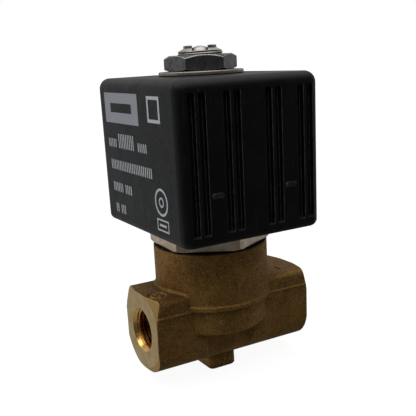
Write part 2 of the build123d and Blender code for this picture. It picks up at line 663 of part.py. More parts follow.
with BuildPart() as coil_nut:
    nut_corner = NUT_ACROSS_FLATS / sqrt(3)
    with BuildSketch(Plane.XY.offset(WASHER_TOP)):
        RegularPolygon(NUT_ACROSS_FLATS / 2, 6, major_radius=False, rotation=NUT_ROTATION)
    extrude(amount=NUT_HEIGHT)
    with BuildSketch(Plane.XZ):
        with BuildLine():
            Polyline(
                (STUD_RADIUS, WASHER_TOP),
                (NUT_FACE_RADIUS, WASHER_TOP),
                (nut_corner, WASHER_TOP + NUT_LOWER_BEVEL),
                (nut_corner, NUT_TOP - NUT_BEVEL),
                (NUT_FACE_RADIUS, NUT_TOP),
                (STUD_RADIUS + NUT_LEAD_IN, NUT_TOP),
                (STUD_RADIUS, NUT_TOP - NUT_LEAD_IN),
                close=True,
            )
        make_face()
    revolve(axis=Axis.Z, mode=Mode.INTERSECT)
finish(coil_nut, "coil_nut")
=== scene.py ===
import json
import math

import bmesh
import bpy
from mathutils import Matrix, Vector


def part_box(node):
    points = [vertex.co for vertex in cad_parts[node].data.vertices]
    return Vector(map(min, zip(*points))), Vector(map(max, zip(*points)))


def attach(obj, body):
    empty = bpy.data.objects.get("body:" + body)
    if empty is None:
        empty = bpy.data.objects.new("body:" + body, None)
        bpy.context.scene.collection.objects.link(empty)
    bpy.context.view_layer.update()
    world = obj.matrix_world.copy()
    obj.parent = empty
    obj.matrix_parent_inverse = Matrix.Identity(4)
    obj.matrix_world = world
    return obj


# Looks of the solenoid valve: a forged brass body, plated steel fittings and a moulded black coil.
# Metres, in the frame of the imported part: +Z up the armature tube, +X from the inlet to the outlet.
# Colours are linear red, green and blue.

MM = 0.001

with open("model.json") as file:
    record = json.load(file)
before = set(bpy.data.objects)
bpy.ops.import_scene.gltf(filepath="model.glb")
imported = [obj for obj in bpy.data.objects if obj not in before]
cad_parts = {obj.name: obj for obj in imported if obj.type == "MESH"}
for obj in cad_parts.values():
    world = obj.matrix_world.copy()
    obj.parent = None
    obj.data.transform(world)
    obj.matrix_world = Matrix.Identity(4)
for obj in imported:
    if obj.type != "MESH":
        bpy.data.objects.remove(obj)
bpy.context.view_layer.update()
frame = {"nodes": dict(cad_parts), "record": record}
nodes = frame["nodes"]
mounts = {mount["name"]: mount for mount in frame["record"]["mounts"]}

# ------------------------------------------------------------------ places, worked out from the frame

body_low, body_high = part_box("valve_body")
coil_low, coil_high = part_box("coil_housing")
stud_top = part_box("fixed_core")[1].z
nut_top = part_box("coil_nut")[1].z
port_z = mounts["inlet_port"]["pos_m"][2]
port_radius = mounts["inlet_port"]["dims"]["r_mm"] * MM
port_middle_x = (body_low.x + body_high.x) / 2
port_half_length = (body_high.x - body_low.x) / 2

# ------------------------------------------------------------------ sizes of the details

PORT_MOUTH_RADIUS = 6.85 * MM
PORT_MOUTH_DEPTH = 0.35 * MM
PORT_CONE_RADIUS = 5.95 * MM  # inner end of the chamfer that leads into the thread
PORT_CONE_BACK = 0.5 * MM  # length of the lead-in piece behind its cone
PORT_LIP_WIDTH = 0.06 * MM  # flat rim round the chamfer
PORT_THREAD_CREST = 5.75 * MM
PORT_THREAD_ROOT = 6.5 * MM
PORT_THREAD_PITCH = 1.337 * MM
PORT_THREAD_DEPTH = 11.6 * MM
PORT_THREAD_START = 0.05 * MM  # behind the cone's end
PIECE_GAP = 0.003 * MM  # between a piece and the wall that it lines

END_FACE_RADIUS = 11.85 * MM
END_CONE_ANGLE = math.radians(21.5)
TURNED_SKIN = 0.06 * MM  # depth that the turned finish reaches to
PORT_RIM = 0.03 * MM  # width of the golden rim round the mouth

STUD_THREAD_ROOT = 6.45 * MM
STUD_THREAD_CREST = 6.8 * MM
STUD_THREAD_PITCH = 0.75 * MM
STUD_THREAD_IN_NUT = 0.6 * MM  # how far the turns reach down into the nut
STUD_PLAIN_TOP = 1.6 * MM  # of the stud, above its thread

COIL_HALF_WIDTH = 23.1 * MM  # at the top, before the sides' draft
COIL_DRAFT = math.radians(0.45)
COIL_PIP_SKIN = 0.04 * MM  # the coil's foremost skin, which only its two pips reach

# ------------------------------------------------------------------ materials

# Sockets of Blender's Mix node when it mixes colours
MIX_SHARE = 0
MIX_FIRST = 6
MIX_SECOND = 7
MIX_RESULT = 2

ROUNDING_SAMPLES = 6
HOLLOW_SAMPLES = 8


class Look:
    """One material, with a short call for each kind of shader node that the looks are made of."""

    def __init__(self, name):
        self.material = bpy.data.materials.new(name)
        self.material.use_nodes = True
        self.tree = self.material.node_tree
        self.shader = self.tree.nodes["Principled BSDF"]
        self.place = self.node("ShaderNodeTexCoord").outputs["Object"]

    def node(self, kind, **settings):
        """A new shader node with these settings."""
        made = self.tree.nodes.new(kind)
        for key, value in settings.items():
            setattr(made, key, value)
        return made

    def feed(self, socket, value):
        """Links a node's output to a socket, or sets the socket to a plain value."""
        if isinstance(value, bpy.types.NodeSocket):
            self.tree.links.new(value, socket)
        elif isinstance(value, tuple) and socket.type == "RGBA":
            socket.default_value = (*value, 1.0)
        else:
            socket.default_value = value

    def set(self, **values):
        """Feeds the shader's own sockets, named with _ for each space."""
        for name, value in values.items():
            socket_name = name.replace("_", " ").title().replace("Ior", "IOR")
            self.feed(self.shader.inputs[socket_name], value)

    def noise(self, size, detail=3.0, roughness=0.55, place=None, distortion=0.0):
        """Cloudy noise from 0 to 1 with features of about this size."""
        made = self.node("ShaderNodeTexNoise")
        self.feed(made.inputs["Vector"], self.place if place is None else place)
        self.feed(made.inputs["Scale"], 1 / size)
        self.feed(made.inputs["Detail"], detail)
        self.feed(made.inputs["Roughness"], roughness)
        self.feed(made.inputs["Distortion"], distortion)
        return made.outputs["Fac"]

    def stretched(self, x, y, z):
        """The place, scaled along each axis."""
        made = self.node("ShaderNodeMapping")
        self.feed(made.inputs["Vector"], self.place)
        self.feed(made.inputs["Scale"], (x, y, z))
        return made.outputs["Vector"]

    def math(self, operation, a, b=0.0):
        """Arithmetic on one or two values."""
        made = self.node("ShaderNodeMath", operation=operation)
        self.feed(made.inputs[0], a)
        self.feed(made.inputs[1], b)
        return made.outputs[0]

    def waves(self, value, length):
        """A sine wave of this length along a value, from -1 to 1."""
        return self.math("SINE", self.math("MULTIPLY", value, math.tau / length))

    def axes(self):
        """The place's X, Y and Z."""
        made = self.node("ShaderNodeSeparateXYZ")
        self.feed(made.inputs[0], self.place)
        return made.outputs["X"], made.outputs["Y"], made.outputs["Z"]

    def spread(self, value, low, high, to_low=0.0, to_high=1.0):
        """The value's stretch from low to high, spread over another range and kept inside it."""
        made = self.node("ShaderNodeMapRange")
        for socket, number in zip(made.inputs, (value, low, high, to_low, to_high)):
            self.feed(socket, number)
        return made.outputs["Result"]

    def mix(self, share, a, b, blend="MIX"):
        """From a to b as the share goes from 0 to 1."""
        made = self.node("ShaderNodeMix", data_type="RGBA", blend_type=blend)
        self.feed(made.inputs[MIX_SHARE], share)
        self.feed(made.inputs[MIX_FIRST], a)
        self.feed(made.inputs[MIX_SECOND], b)
        return made.outputs[MIX_RESULT]

    def bump(self, height, distance, normal=None):
        """The surface's normal, tilted by a height that stands this far out of it."""
        made = self.node("ShaderNodeBump")
        self.feed(made.inputs["Height"], height)
        self.feed(made.inputs["Distance"], distance)
        self.feed(made.inputs["Strength"], 1.0)
        if normal is not None:
            self.feed(made.inputs["Normal"], normal)
        return made.outputs["Normal"]

    def rounded(self, radius):
        """The surface's normal as if its edges were rounded."""
        made = self.node("ShaderNodeBevel", samples=ROUNDING_SAMPLES)
        self.feed(made.inputs["Radius"], radius)
        return made.outputs["Normal"]

    def edges(self, rounded_normal, gain=6.0):
        """1 along edges and 0 on flat ground."""
        normal = self.node("ShaderNodeNewGeometry").outputs["Normal"]
        dot = self.node("ShaderNodeVectorMath", operation="DOT_PRODUCT")
        self.feed(dot.inputs[0], rounded_normal)
        self.feed(dot.inputs[1], normal)
        away = self.math("SUBTRACT", 1.0, dot.outputs["Value"])
        return self.spread(away, 0.0, 1 / gain)

    def facing(self, axis, low, high, normal=None):
        """How far the surface faces along an axis of the piece: 0 at low, 1 at high."""
        if normal is None:
            normal = self.node("ShaderNodeNewGeometry").outputs["Normal"]
        turned = self.node("ShaderNodeVectorTransform", vector_type="NORMAL")
        turned.convert_from = "WORLD"
        turned.convert_to = "OBJECT"
        self.feed(turned.inputs[0], normal)
        made = self.node("ShaderNodeSeparateXYZ")
        self.feed(made.inputs[0], turned.outputs[0])
        return self.spread(made.outputs[axis], low, high)

    def hollows(self, distance):
        """1 in the open and 0 deep in a corner."""
        made = self.node("ShaderNodeAmbientOcclusion", samples=HOLLOW_SAMPLES)
        self.feed(made.inputs["Distance"], distance)
        return made.outputs["AO"]


def scaled(colour, factor):
    """A colour made lighter or darker."""
    return tuple(min(1.0, part * factor) for part in colour)


def depth_from_end(look, x):
    """How far a place is in from the nearer end face of the body."""
    along = look.math("ABSOLUTE", look.math("SUBTRACT", x, port_middle_x))
    return look.math("SUBTRACT", port_half_length, along)


def blasted_brass(look, soft_edges, grain, pits):
    """Colour of the forging's skin: brown and mottled, with painted glints on its grain, painted shade in
    hollows and on upward faces, and golden along edges, partly wear and partly a painted highlight.
    """
    dark_brown = (0.275, 0.142, 0.038)
    light_brown = (0.415, 0.235, 0.068)
    ruddy = (0.52, 0.262, 0.070)
    dull = (0.130, 0.070, 0.022)
    glint = (0.70, 0.42, 0.13)
    pit = (0.070, 0.037, 0.012)
    hollow_shade = (0.050, 0.026, 0.008)
    painted_top_shade = (0.62, 0.60, 0.58)
    worn_and_highlit_gold = (0.72, 0.45, 0.17)

    patches = look.noise(8 * MM, detail=3.0, distortion=0.6)
    mottle = look.noise(1.3 * MM, detail=3.0, roughness=0.6)
    colour = look.mix(look.spread(patches, 0.35, 0.7), dark_brown, light_brown)
    colour = look.mix(look.spread(mottle, 0.52, 0.72, to_high=0.6), colour, ruddy)
    colour = look.mix(look.spread(mottle, 0.46, 0.28, to_high=0.6), colour, dull)
    colour = look.mix(look.spread(grain, 0.52, 0.66, to_high=0.75), colour, glint)
    colour = look.mix(look.spread(grain, 0.46, 0.34, to_high=0.55), colour, pit)
    # Painted shade: darker in hollows, creases and under overhangs.
    colour = look.mix(look.spread(look.hollows(3 * MM), 0.42, 0.92), hollow_shade, colour)
    # Painted shade: faces that point up are multiplied darker and greyer.
    colour = look.mix(look.facing("Z", 0.5, 0.95), colour, painted_top_shade, blend="MULTIPLY")
    # Golden along edges, broken up by noise: partly wear, partly a painted highlight.
    edge_wear_and_highlight = look.math("MULTIPLY", look.edges(soft_edges), look.spread(pits, 0.3, 0.6, to_low=0.25))
    return look.mix(edge_wear_and_highlight, colour, worn_and_highlit_gold)


def turned_brass(look, radius, scatter):
    """Colour of the turned ends: stained faces, and a more golden cone round each of them, its darker tone
    a painted shade.
    """
    face_dark = (0.54, 0.370, 0.165)
    face_light = (0.84, 0.62, 0.31)
    face_stain = (0.52, 0.330, 0.125)
    shaded_cone_dark = (0.46, 0.270, 0.085)
    shaded_cone_light = (0.66, 0.42, 0.15)
    rim_gold = (0.80, 0.47, 0.14)

    stain = look.spread(look.noise(2.5 * MM, detail=4.0, distortion=0.5), 0.4, 0.75)
    face = look.mix(stain, look.mix(scatter, face_dark, face_light), face_stain)
    # The cone is darker than the face: painted shade on golden brass.
    cone = look.mix(scatter, shaded_cone_dark, shaded_cone_light)
    colour = look.mix(look.math("GREATER_THAN", radius, END_FACE_RADIUS), face, cone)
    in_port = look.math("LESS_THAN", radius, PORT_MOUTH_RADIUS + PORT_RIM)
    return look.mix(in_port, colour, rim_gold)


def forged_brass():
    """Shot-blasted brass gone brown, with bright turned ends."""
    look = Look("forged_brass")
    x, y, z = look.axes()
    rise = look.math("SUBTRACT", z, port_z)
    squares = look.math("ADD", look.math("MULTIPLY", y, y), look.math("MULTIPLY", rise, rise))
    radius = look.math("SQRT", squares)
    past_face = look.math("MAXIMUM", look.math("SUBTRACT", radius, END_FACE_RADIUS), 0.0)
    cone_depth = look.math("MULTIPLY", past_face, math.tan(END_CONE_ANGLE))
    turned = look.math("LESS_THAN", depth_from_end(look, x), look.math("ADD", cone_depth, TURNED_SKIN))

    grain = look.noise(0.36 * MM, detail=2.5, roughness=0.75)
    pits = look.noise(0.7 * MM, detail=2.0)
    scatter = look.noise(0.22 * MM, detail=2.0)
    rings = look.waves(radius, 0.22 * MM)
    soft_edges = look.rounded(0.45 * MM)
    blasted_bump = look.bump(grain, 0.09 * MM, look.bump(pits, 0.16 * MM, soft_edges))
    tool_marks = look.math("ADD", rings, look.math("MULTIPLY", scatter, 4.0))
    turned_bump = look.bump(tool_marks, 0.0025 * MM, soft_edges)
    blasted_colour = blasted_brass(look, soft_edges, grain, pits)
    turned_colour = turned_brass(look, radius, scatter)
    turned_roughness = (0.38, 0.38, 0.38)
    look.set(
        base_color=look.mix(turned, blasted_colour, turned_colour),
        metallic=0.9,
        normal=look.mix(turned, blasted_bump, turned_bump),
        roughness=look.mix(turned, look.spread(grain, 0.3, 0.7, 0.74, 0.54), turned_roughness),
    )
    return look.material


def cut_brass():
    """Thread freshly cut in the brass, golden at the mouth and darker further in, a painted shade of the
    bore.
    """
    golden_dark = (0.84, 0.50, 0.12)
    golden_light = (1.0, 0.70, 0.26)
    deep_shade_dark = (0.22, 0.075, 0.030)
    deep_shade_light = (0.70, 0.31, 0.10)

    look = Look("cut_brass")
    x, _, _ = look.axes()
    stain = look.noise(0.9 * MM, detail=3.0)
    golden = look.mix(stain, golden_dark, golden_light)
    # Painted shade: the colour deep in the port, mixed in with depth from the mouth.
    deep_shade = look.mix(stain, deep_shade_dark, deep_shade_light)
    look.set(
        base_color=look.mix(look.spread(depth_from_end(look, x), 1.2 * MM, 3.0 * MM), golden, deep_shade),
        metallic=1.0,
        roughness=look.spread(stain, 0.3, 0.7, 0.16, 0.28),
        normal=look.bump(look.noise(0.2 * MM, detail=1.0), 0.01 * MM, look.rounded(0.08 * MM)),
    )
    return look.material


def plated_steel(name, dark, light, roughness, stain_size=3.0 * MM, highlight_gain=2.4):
    """Zinc or nickel over machined steel: cloudy, with fine specks, a painted highlight along upper edges
    and painted shade in hollows.
    """
    look = Look(name)
    clouds = look.noise(stain_size, detail=5.0, distortion=0.4)
    specks = look.noise(0.3 * MM, detail=2.0)
    soft_edges = look.rounded(0.34 * MM)
    upper = look.facing("Z", 0.1, 0.5, soft_edges)
    # Painted highlight: edges that face up are made brighter.
    edge_highlight = look.math("MULTIPLY", look.edges(soft_edges, gain=16.0), upper)
    # Painted shade: the colour turns darker in hollows.
    open_ground = look.spread(look.hollows(1.2 * MM), 0.2, 0.7)
    colour = look.mix(look.spread(clouds, 0.32, 0.68), dark, light)
    colour = look.mix(look.spread(specks, 0.62, 0.75, to_high=0.6), colour, scaled(dark, 0.45))
    colour = look.mix(edge_highlight, colour, scaled(light, highlight_gain))
    look.set(
        base_color=look.mix(open_ground, scaled(dark, 0.25), colour),
        metallic=0.92,
        roughness=look.spread(clouds, 0.25, 0.75, roughness + 0.08, roughness - 0.06),
        normal=look.bump(specks, 0.012 * MM, look.bump(clouds, 0.05 * MM, soft_edges)),
    )
    return look.material


def turned_steel(name, dark, light, roughness):
    """Steel turned about the tube's axis, with faint rings, a painted highlight on its upward faces and
    painted shade in hollows.
    """
    look = Look(name)
    _, _, z = look.axes()
    drift = look.noise(1.2 * MM, detail=4.0)
    # Painted shade: the colour turns darker in hollows.
    open_ground = look.spread(look.hollows(1.5 * MM), 0.35, 0.85)
    colour = look.mix(look.spread(drift, 0.35, 0.65), dark, light)
    # Painted highlight: faces that point up, such as the stud's dome, are made brighter.
    colour = look.mix(look.facing("Z", 0.6, 0.95), colour, scaled(light, 2.7))
    look.set(
        base_color=look.mix(open_ground, scaled(dark, 0.25), colour),
        metallic=1.0,
        roughness=look.spread(drift, 0.3, 0.7, roughness, roughness + 0.12),
        normal=look.bump(look.waves(z, 0.18 * MM), 0.002 * MM, look.rounded(0.12 * MM)),
    )
    return look.material


def black_moulding():
    """Black glass-filled plastic with a satin skin, a painted highlight along edges that face -X, scratches
    and dust on top.
    """
    black = (0.0026, 0.0028, 0.0038)
    faded_black = (0.0052, 0.0055, 0.0068)
    highlight_grey = (0.16, 0.163, 0.163)
    speck_grey = (0.045, 0.044, 0.042)
    scratch_grey = (0.050, 0.050, 0.050)
    pip_grey = (0.055, 0.052, 0.048)
    dust_grey = (0.085, 0.079, 0.066)

    look = Look("black_moulding")
    skin = look.noise(0.16 * MM, detail=2.0)
    flow = look.noise(6 * MM, detail=4.0, distortion=0.8)
    rubs = look.noise(1.1 * MM, detail=4.0, roughness=0.65)
    soft_edges = look.rounded(0.35 * MM)
    colour = look.mix(look.spread(flow, 0.3, 0.7), black, faded_black)

    # Painted highlight: edges that face -X are made lighter grey, broken up by noise.
    edge = look.math("MULTIPLY", look.edges(soft_edges, gain=22.0), look.facing("X", 0.0, -0.3, soft_edges))
    edge_highlight = look.math("MULTIPLY", edge, look.spread(rubs, 0.38, 0.56, to_low=0.35))
    colour = look.mix(edge_highlight, colour, highlight_grey)
    specks = look.noise(0.45 * MM, detail=3.0, roughness=0.7)
    colour = look.mix(look.spread(specks, 0.66, 0.80, to_high=0.45), colour, speck_grey)
    scratch = look.noise(0.55 * MM, detail=1.0, place=look.stretched(1.0, 1.0, 0.06))
    colour = look.mix(look.spread(scratch, 0.70, 0.76, to_high=0.35), colour, scratch_grey)

    _, y, _ = look.axes()
    on_pip = look.math("LESS_THAN", y, coil_low.y + COIL_PIP_SKIN)
    streaks = look.noise(0.5 * MM, detail=3.0, place=look.stretched(0.3, 1.0, 1.6))
    pip_dust = look.math("MULTIPLY", on_pip, look.spread(streaks, 0.40, 0.62, 0.15, 0.8))
    colour = look.mix(pip_dust, colour, pip_grey)
    dust = look.math("MULTIPLY", look.facing("Z", 0.45, 0.98), look.spread(rubs, 0.25, 0.7, to_low=0.35))
    colour = look.mix(look.math("MULTIPLY", dust, 0.6), colour, dust_grey)

    look.set(
        base_color=colour,
        specular_ior_level=0.235,
        roughness=look.spread(look.math("MULTIPLY", flow, rubs), 0.12, 0.40, 0.34, 0.50),
        normal=look.bump(skin, 0.010 * MM, look.bump(flow, 0.08 * MM, soft_edges)),
    )
    return look.material


def printed_ink(name, light, shine):
    """Pale silvery ink pad-printed on the moulding, thin enough to break up a little."""
    look = Look(name)
    thin = look.noise(0.35 * MM, detail=3.0)
    look.set(
        base_color=look.mix(look.spread(thin, 0.35, 0.65), scaled(light, 0.7), light),
        roughness=0.45,
        metallic=shine,
        normal=look.bump(thin, 0.01 * MM),
    )
    return look.material


def moulded_rubber():
    """Black rubber with a faint bloom."""
    look = Look("moulded_rubber")
    bloom = look.noise(1.2 * MM, detail=4.0)
    look.set(
        base_color=look.mix(look.spread(bloom, 0.35, 0.7), (0.010, 0.010, 0.010), (0.030, 0.029, 0.028)),
        roughness=look.spread(bloom, 0.3, 0.7, 0.55, 0.75),
        normal=look.bump(look.noise(0.12 * MM, detail=2.0), 0.01 * MM),
    )
    return look.material


def spool_plastic():
    """Pale glossy plastic with slight flow marks."""
    look = Look("spool_plastic")
    flow = look.noise(4 * MM, detail=3.0, distortion=0.5)
    look.set(
        base_color=look.mix(flow, (0.46, 0.43, 0.36), (0.58, 0.55, 0.48)),
        roughness=look.spread(flow, 0.3, 0.7, 0.28, 0.40),
        subsurface_weight=0.05,
        normal=look.bump(flow, 0.04 * MM, look.rounded(0.2 * MM)),
    )
    return look.material


def enamelled_copper():
    """Layers of fine enamelled wire wound round the spool."""
    look = Look("enamelled_copper")
    _, _, z = look.axes()
    tint = look.noise(2 * MM, detail=3.0)
    look.set(
        base_color=look.mix(tint, (0.55, 0.20, 0.08), (0.78, 0.36, 0.17)),
        metallic=1.0,
        roughness=look.spread(tint, 0.3, 0.7, 0.25, 0.38),
        coat_weight=0.4,
        normal=look.bump(look.waves(z, 0.28 * MM), 0.05 * MM),
    )
    return look.material


def steel_looks():
    """Plated and turned metals: name, dark colour, light colour, roughness."""
    return {
        "hexagon": plated_steel(
            "nickelled_steel", (0.74, 0.59, 0.45), (0.99, 0.84, 0.67), 0.48, highlight_gain=1.08
        ),
        "nut": plated_steel(
            "zinc_plated_steel",
            (0.130, 0.122, 0.114),
            (0.215, 0.220, 0.225),
            0.34,
            stain_size=1.6 * MM,
            highlight_gain=4.5,
        ),
        "washer": plated_steel("stained_zinc", (0.34, 0.30, 0.25), (0.56, 0.51, 0.44), 0.40, highlight_gain=1.3),
        "yoke": plated_steel("pressed_steel", (0.26, 0.27, 0.29), (0.40, 0.41, 0.43), 0.40, highlight_gain=1.5),
        "blade": plated_steel("tinned_brass", (0.58, 0.55, 0.47), (0.74, 0.71, 0.63), 0.30, highlight_gain=1.2),
        "insert": plated_steel("turned_brass", (0.60, 0.42, 0.17), (0.80, 0.60, 0.28), 0.28, highlight_gain=1.2),
        "stainless": turned_steel("turned_stainless", (0.13, 0.115, 0.10), (0.36, 0.33, 0.305), 0.28),
        "drawn": turned_steel("drawn_stainless", (0.55, 0.55, 0.54), (0.68, 0.68, 0.67), 0.26),
        "spring": turned_steel("spring_wire", (0.45, 0.45, 0.45), (0.62, 0.62, 0.62), 0.24),
    }


looks = {
    **steel_looks(),
    "brass": forged_brass(),
    "thread": cut_brass(),
    "moulding": black_moulding(),
    "rubber": moulded_rubber(),
    "spool": spool_plastic(),
    "copper": enamelled_copper(),
    "ink": printed_ink("grey_ink", (0.90, 0.92, 0.95), shine=0.6),
    "plate_ink": printed_ink("pale_ink", (0.54, 0.55, 0.61), shine=0.15),
}

NODE_LOOKS = {
    "valve_body": "brass",
    "tube_base": "hexagon",
    "flange_gasket": "rubber",
    "spigot_o_ring": "rubber",
    "guide_tube": "drawn",
    "fixed_core": "stainless",
    "shading_ring": "copper",
    "plunger": "stainless",
    "seal_disc": "rubber",
    "plunger_spring": "spring",
    "coil_housing": "moulding",
    "coil_bobbin": "spool",
    "coil_winding": "copper",
    "yoke_frame": "yoke",
    "winding_leads": "copper",
    "power_blades": "blade",
    "earth_blade": "blade",
    "plug_screw_insert": "insert",
    "coil_lower_seal": "rubber",
    "coil_upper_seal": "rubber",
    "coil_washer": "washer",
    "coil_nut": "nut",
}
for node_name, look_name in NODE_LOOKS.items():
    slots = nodes[node_name].data.materials
    slots.clear()
    slots.append(looks[look_name])

# ------------------------------------------------------------------ pieces

RING_STEPS = 96  # round the lead-in cone
SMOOTH_ANGLE = math.radians(35.0)  # edges sharper than this stay sharp


def object_of(name, mesh):
    """Turns a bmesh into an object of the scene."""
    data = bpy.data.meshes.new(name)
    mesh.to_mesh(data)
    mesh.free()
    made = bpy.data.objects.new(name, data)
    bpy.context.scene.collection.objects.link(made)
    return made


def new_piece(name, mesh, look_name, body):
    """Turns a bmesh into a piece with a look, riding on a body."""
    bmesh.ops.recalc_face_normals(mesh, faces=mesh.faces)
    piece = object_of(name, mesh)
    piece.data.materials.append(looks[look_name])
    piece.data.shade_smooth()
    piece.data.set_sharp_from_angle(angle=SMOOTH_ANGLE)
    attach(piece, body)


def joined_rings(mesh, rings):
    """Faces between neighbouring rings of vertices that have the same count."""
    for lower, upper in zip(rings, rings[1:]):
        count = len(lower)
        for i in range(count):
            j = (i + 1) % count
            mesh.faces.new((lower[i], lower[j], upper[j], upper[i]))


def circle_of(mesh, radius, height, count):
    """A ring of vertices round +Z."""
    angles = (math.tau * i / count for i in range(count))
    return [mesh.verts.new((radius * math.cos(a), radius * math.sin(a), height)) for a in angles]


def ring_of_section(mesh, section):
    """A solid ring round +Z with a closed section of (radius, height) corners."""
    rings = [circle_of(mesh, radius, height, RING_STEPS) for radius, height in section]
    joined_rings(mesh, [*rings, rings[0]])


THREAD_STEPS = 72  # round one turn
THREAD_PROFILE = ((0.0, 0.0), (0.10, 0.0), (0.43, 1.0), (0.57, 1.0))  # shares of the pitch and height
THREAD_MERGE = 0.002 * MM  # points of the faded ends closer than this become one
THREAD_THINNEST = 0.001 * MM  # edges shorter than this are dissolved


def screw_thread(mesh, root, crest, bottom, top, pitch):
    """The helical surface of a screw thread round +Z, fading into its root at both ends."""
    columns = []
    turns = math.ceil((top - bottom) / pitch) + 2
    for step in range(THREAD_STEPS):
        share_of_turn = step / THREAD_STEPS
        angle = math.tau * share_of_turn
        column = []
        for turn in range(turns):
            for pitch_share, height_share in THREAD_PROFILE:
                height = bottom + pitch * (turn - 1 + pitch_share + share_of_turn)
                height = min(max(height, bottom), top)
                fade = min(1.0, (height - bottom) / (pitch / 2), (top - height) / (pitch / 2))
                radius = root + (crest - root) * height_share * fade
                column.append(mesh.verts.new((radius * math.cos(angle), radius * math.sin(angle), height)))
        columns.append(column)
    per_turn = len(THREAD_PROFILE)
    for step, column in enumerate(columns):
        following = columns[(step + 1) % THREAD_STEPS]
        shift = per_turn if step == THREAD_STEPS - 1 else 0
        for i in range(len(column) - 1):
            if i + 1 + shift < len(following):
                mesh.faces.new((column[i], column[i + 1], following[i + 1 + shift], following[i + shift]))
    bmesh.ops.remove_doubles(mesh, verts=mesh.verts, dist=THREAD_MERGE)
    bmesh.ops.dissolve_degenerate(mesh, edges=mesh.edges, dist=THREAD_THINNEST)


def port_piece(name, mesh, mount):
    """Puts a mesh, made round +Z from a mouth at the origin, into a port."""
    outward = Vector(mount["axis"])
    mouth = Vector((body_low.x if outward.x < 0 else body_high.x, 0, port_z))
    turn = (-outward).to_track_quat("Z", "Y").to_matrix().to_4x4()
    mesh.transform(Matrix.Translation(mouth) @ turn)
    new_piece(name, mesh, "thread", "valve")


def make_port(port, mount):
    """The chamfer that leads into a port, and the thread behind it."""
    wall = port_radius - PIECE_GAP
    mouth = PORT_MOUTH_RADIUS - PIECE_GAP
    cone_end = PORT_MOUTH_DEPTH + wall - PORT_CONE_RADIUS
    cone = bmesh.new()
    section = (
        (wall, PORT_MOUTH_DEPTH),
        (mouth, PIECE_GAP),
        (mouth - PORT_LIP_WIDTH, PIECE_GAP),
        (PORT_CONE_RADIUS, cone_end),
        (wall, cone_end + PORT_CONE_BACK),
    )
    ring_of_section(cone, section)
    port_piece(port + "_lead_in", cone, mount)
    thread = bmesh.new()
    start = cone_end + PORT_THREAD_START
    screw_thread(thread, PORT_THREAD_ROOT, PORT_THREAD_CREST, start, PORT_THREAD_DEPTH, PORT_THREAD_PITCH)
    port_piece(port + "_thread", thread, mount)


def make_stud_thread():
    """The turns of the stud's thread that stand out of the nut."""
    mesh = bmesh.new()
    bottom = nut_top - STUD_THREAD_IN_NUT
    top = stud_top - STUD_PLAIN_TOP
    screw_thread(mesh, STUD_THREAD_ROOT, STUD_THREAD_CREST, bottom, top, STUD_THREAD_PITCH)
    new_piece("stud_thread", mesh, "stainless", "valve")


# ------------------------------------------------------------------ the coil's printed side

# Places on it are in millimetres: across runs from the tube's axis towards -Y, and up is measured
# from the port's axis. The marks are plain bars, frames and rings, with no lettering.
# Rectangles are (left, right, low, high).

PRINT_THICKNESS = 0.035 * MM
PRINT_SINK = 0.01 * MM  # how far it reaches into the moulding
BAR_STROKE = 0.55
BAR_PITCH = 1.3

PLATE_BARS = (
    (-21.4, 2.9, 68.2, 71.3),
    (-21.4, 2.9, 62.2, 65.4),
    (-21.4, -17.0, 65.4, 68.2),
    (-1.5, 2.9, 65.4, 68.2),
)
HOLLOW_SQUARE = (9.2, 17.0, 63.6, 70.9)
HOLLOW_SQUARE_STROKE = 0.95
BAR_ROWS = (
    (-20.5, -14.3, 54.6, 57.2),
    (-12.8, -0.8, 54.6, 59.0),
    (1.2, 7.9, 54.6, 57.2),
    (-19.8, 9.6, 47.6, 50.6),
    (-19.5, -12.2, 40.6, 43.4),
    (-10.4, -4.8, 40.6, 43.4),
    (-18.8, -16.6, 33.8, 36.6),
    (-14.9, -10.6, 33.8, 36.6),
)
RING_MIDDLE = (14.2, 41.6)
OUTER_RING = {"radius": 4.0, "stroke": 0.7, "count": 28}
INNER_RING = {"radius": 1.5, "stroke": 0.5, "count": 16}
SMALL_BOX = (10.8, 18.0, 33.2, 36.7)
SMALL_BOX_STROKE = 0.45
SMALL_BOX_BAR = (12.3, 16.5, 34.6, 35.3)


def printed_mark(name, outlines, look_name):
    """Thin printed shapes on the coil's drafted -X side, each a closed outline."""
    mesh = bmesh.new()
    for outline in outlines:
        sheets = []
        for proud in (-PRINT_SINK, PRINT_THICKNESS):
            sheet = []
            for across, up in outline:
                z = port_z + up * MM
                side_x = COIL_HALF_WIDTH - (coil_high.z - z) * math.tan(COIL_DRAFT)
                sheet.append(mesh.verts.new((-side_x - proud, -across * MM, z)))
            sheets.append(sheet)
        mesh.faces.new(sheets[1])
        joined_rings(mesh, sheets)
    new_piece(name, mesh, look_name, "coil")


def bar(left, right, low, high):
    """The outline of one upright or level bar."""
    return ((left, low), (right, low), (right, high), (left, high))


def frame_of_bars(left, right, low, high, stroke):
    """Four bars round a rectangle."""
    return [
        bar(left, right, low, low + stroke),
        bar(left, right, high - stroke, high),
        bar(left, left + stroke, low + stroke, high - stroke),
        bar(right - stroke, right, low + stroke, high - stroke),
    ]


def row_of_bars(left, right, low, high):
    """Plain upright bars, all alike."""
    bars = []
    start = left
    while start + BAR_STROKE <= right:
        bars.append(bar(start, start + BAR_STROKE, low, high))
        start += BAR_PITCH
    return bars


def ring_of_bars(middle, radius, stroke, count):
    """Short bars end to end round a circle."""
    across, up = middle
    inner = radius - stroke
    bars = []
    for i in range(count):
        start, end = (math.tau * k / count for k in (i, i + 1))
        corners = ((radius, start), (radius, end), (inner, end), (inner, start))
        bars.append([(across + r * math.cos(a), up + r * math.sin(a)) for r, a in corners])
    return bars


